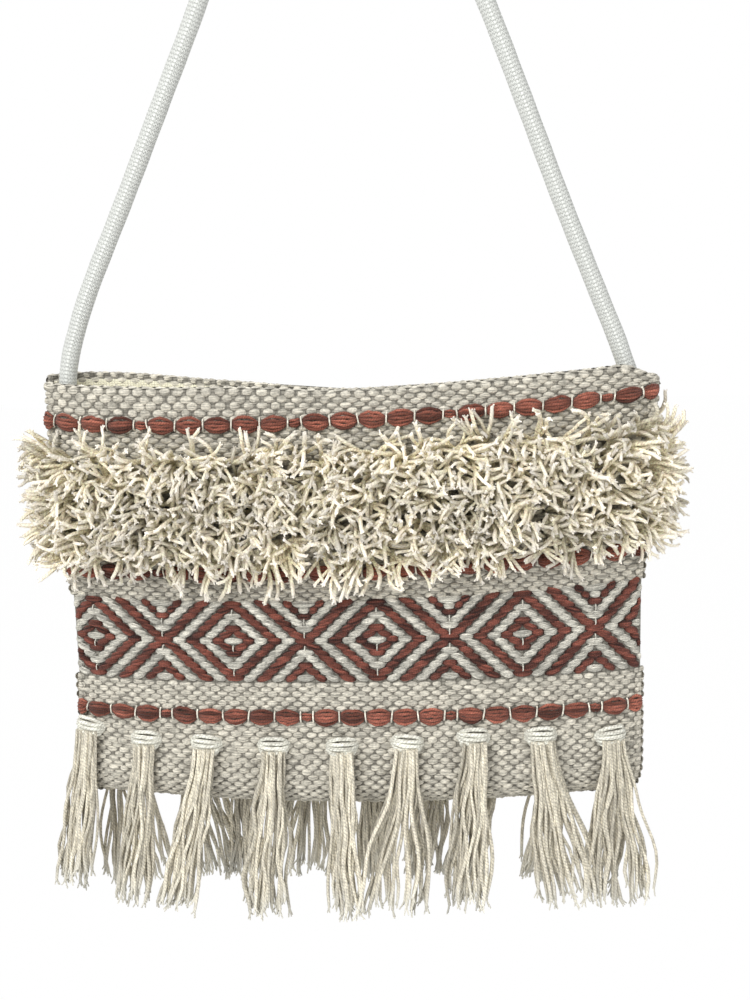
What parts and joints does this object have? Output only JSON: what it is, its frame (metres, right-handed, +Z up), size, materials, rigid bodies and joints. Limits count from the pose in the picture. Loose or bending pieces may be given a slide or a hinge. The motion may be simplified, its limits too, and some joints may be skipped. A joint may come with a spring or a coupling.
{
  "type": "woven shoulder bag",
  "caption": "Flat handwoven cotton shoulder bag on a rope strap, with terracotta stripes, a diamond band, cut pile and yarn tassels.",
  "frame": {"origin": "under the top of the rope, where a peg, a hook or a shoulder carries the bag", "axes": "+X to the right along the rim, -Y out of the front, +Z up; the bag hangs below the origin"},
  "size_m": [0.328, 0.0766, 0.5694],
  "materials": {
    "cream_cloth": "coarse handwoven cotton",
    "natural_yarn": "cut cotton yarn",
    "terracotta_yarn": "dyed cotton yarn",
    "lining_cotton": "plain woven cotton",
    "rope_cotton": "knitted cotton rope"
  },
  "bodies": {
    "root": {"woven_cloth": "cream_cloth", "lining": "lining_cotton", "shoulder_rope": "rope_cotton", "front_top_stripe": "terracotta_yarn", "front_middle_stripe": "terracotta_yarn", "front_bottom_stripe": "terracotta_yarn", "front_diamond_inlay": "terracotta_yarn", "front_pile_row_1": "natural_yarn", "front_pile_row_2": "natural_yarn", "front_pile_row_3": "natural_yarn", "front_pile_row_4": "natural_yarn", "front_tassel_1": "natural_yarn", "front_tassel_2": "natural_yarn", "front_tassel_3": "natural_yarn", "front_tassel_4": "natural_yarn", "front_tassel_5": "natural_yarn", "front_tassel_6": "natural_yarn", "front_tassel_7": "natural_yarn", "front_tassel_8": "natural_yarn", "front_tassel_9": "natural_yarn", "back_top_stripe": "terracotta_yarn", "back_middle_stripe": "terracotta_yarn", "back_bottom_stripe": "terracotta_yarn", "back_diamond_inlay": "terracotta_yarn", "back_pile_row_1": "natural_yarn", "back_pile_row_2": "natural_yarn", "back_pile_row_3": "natural_yarn", "back_pile_row_4": "natural_yarn", "back_tassel_1": "natural_yarn", "back_tassel_2": "natural_yarn", "back_tassel_3": "natural_yarn", "back_tassel_4": "natural_yarn", "back_tassel_5": "natural_yarn", "back_tassel_6": "natural_yarn", "back_tassel_7": "natural_yarn", "back_tassel_8": "natural_yarn", "back_tassel_9": "natural_yarn"}
  },
  "joints": []
}
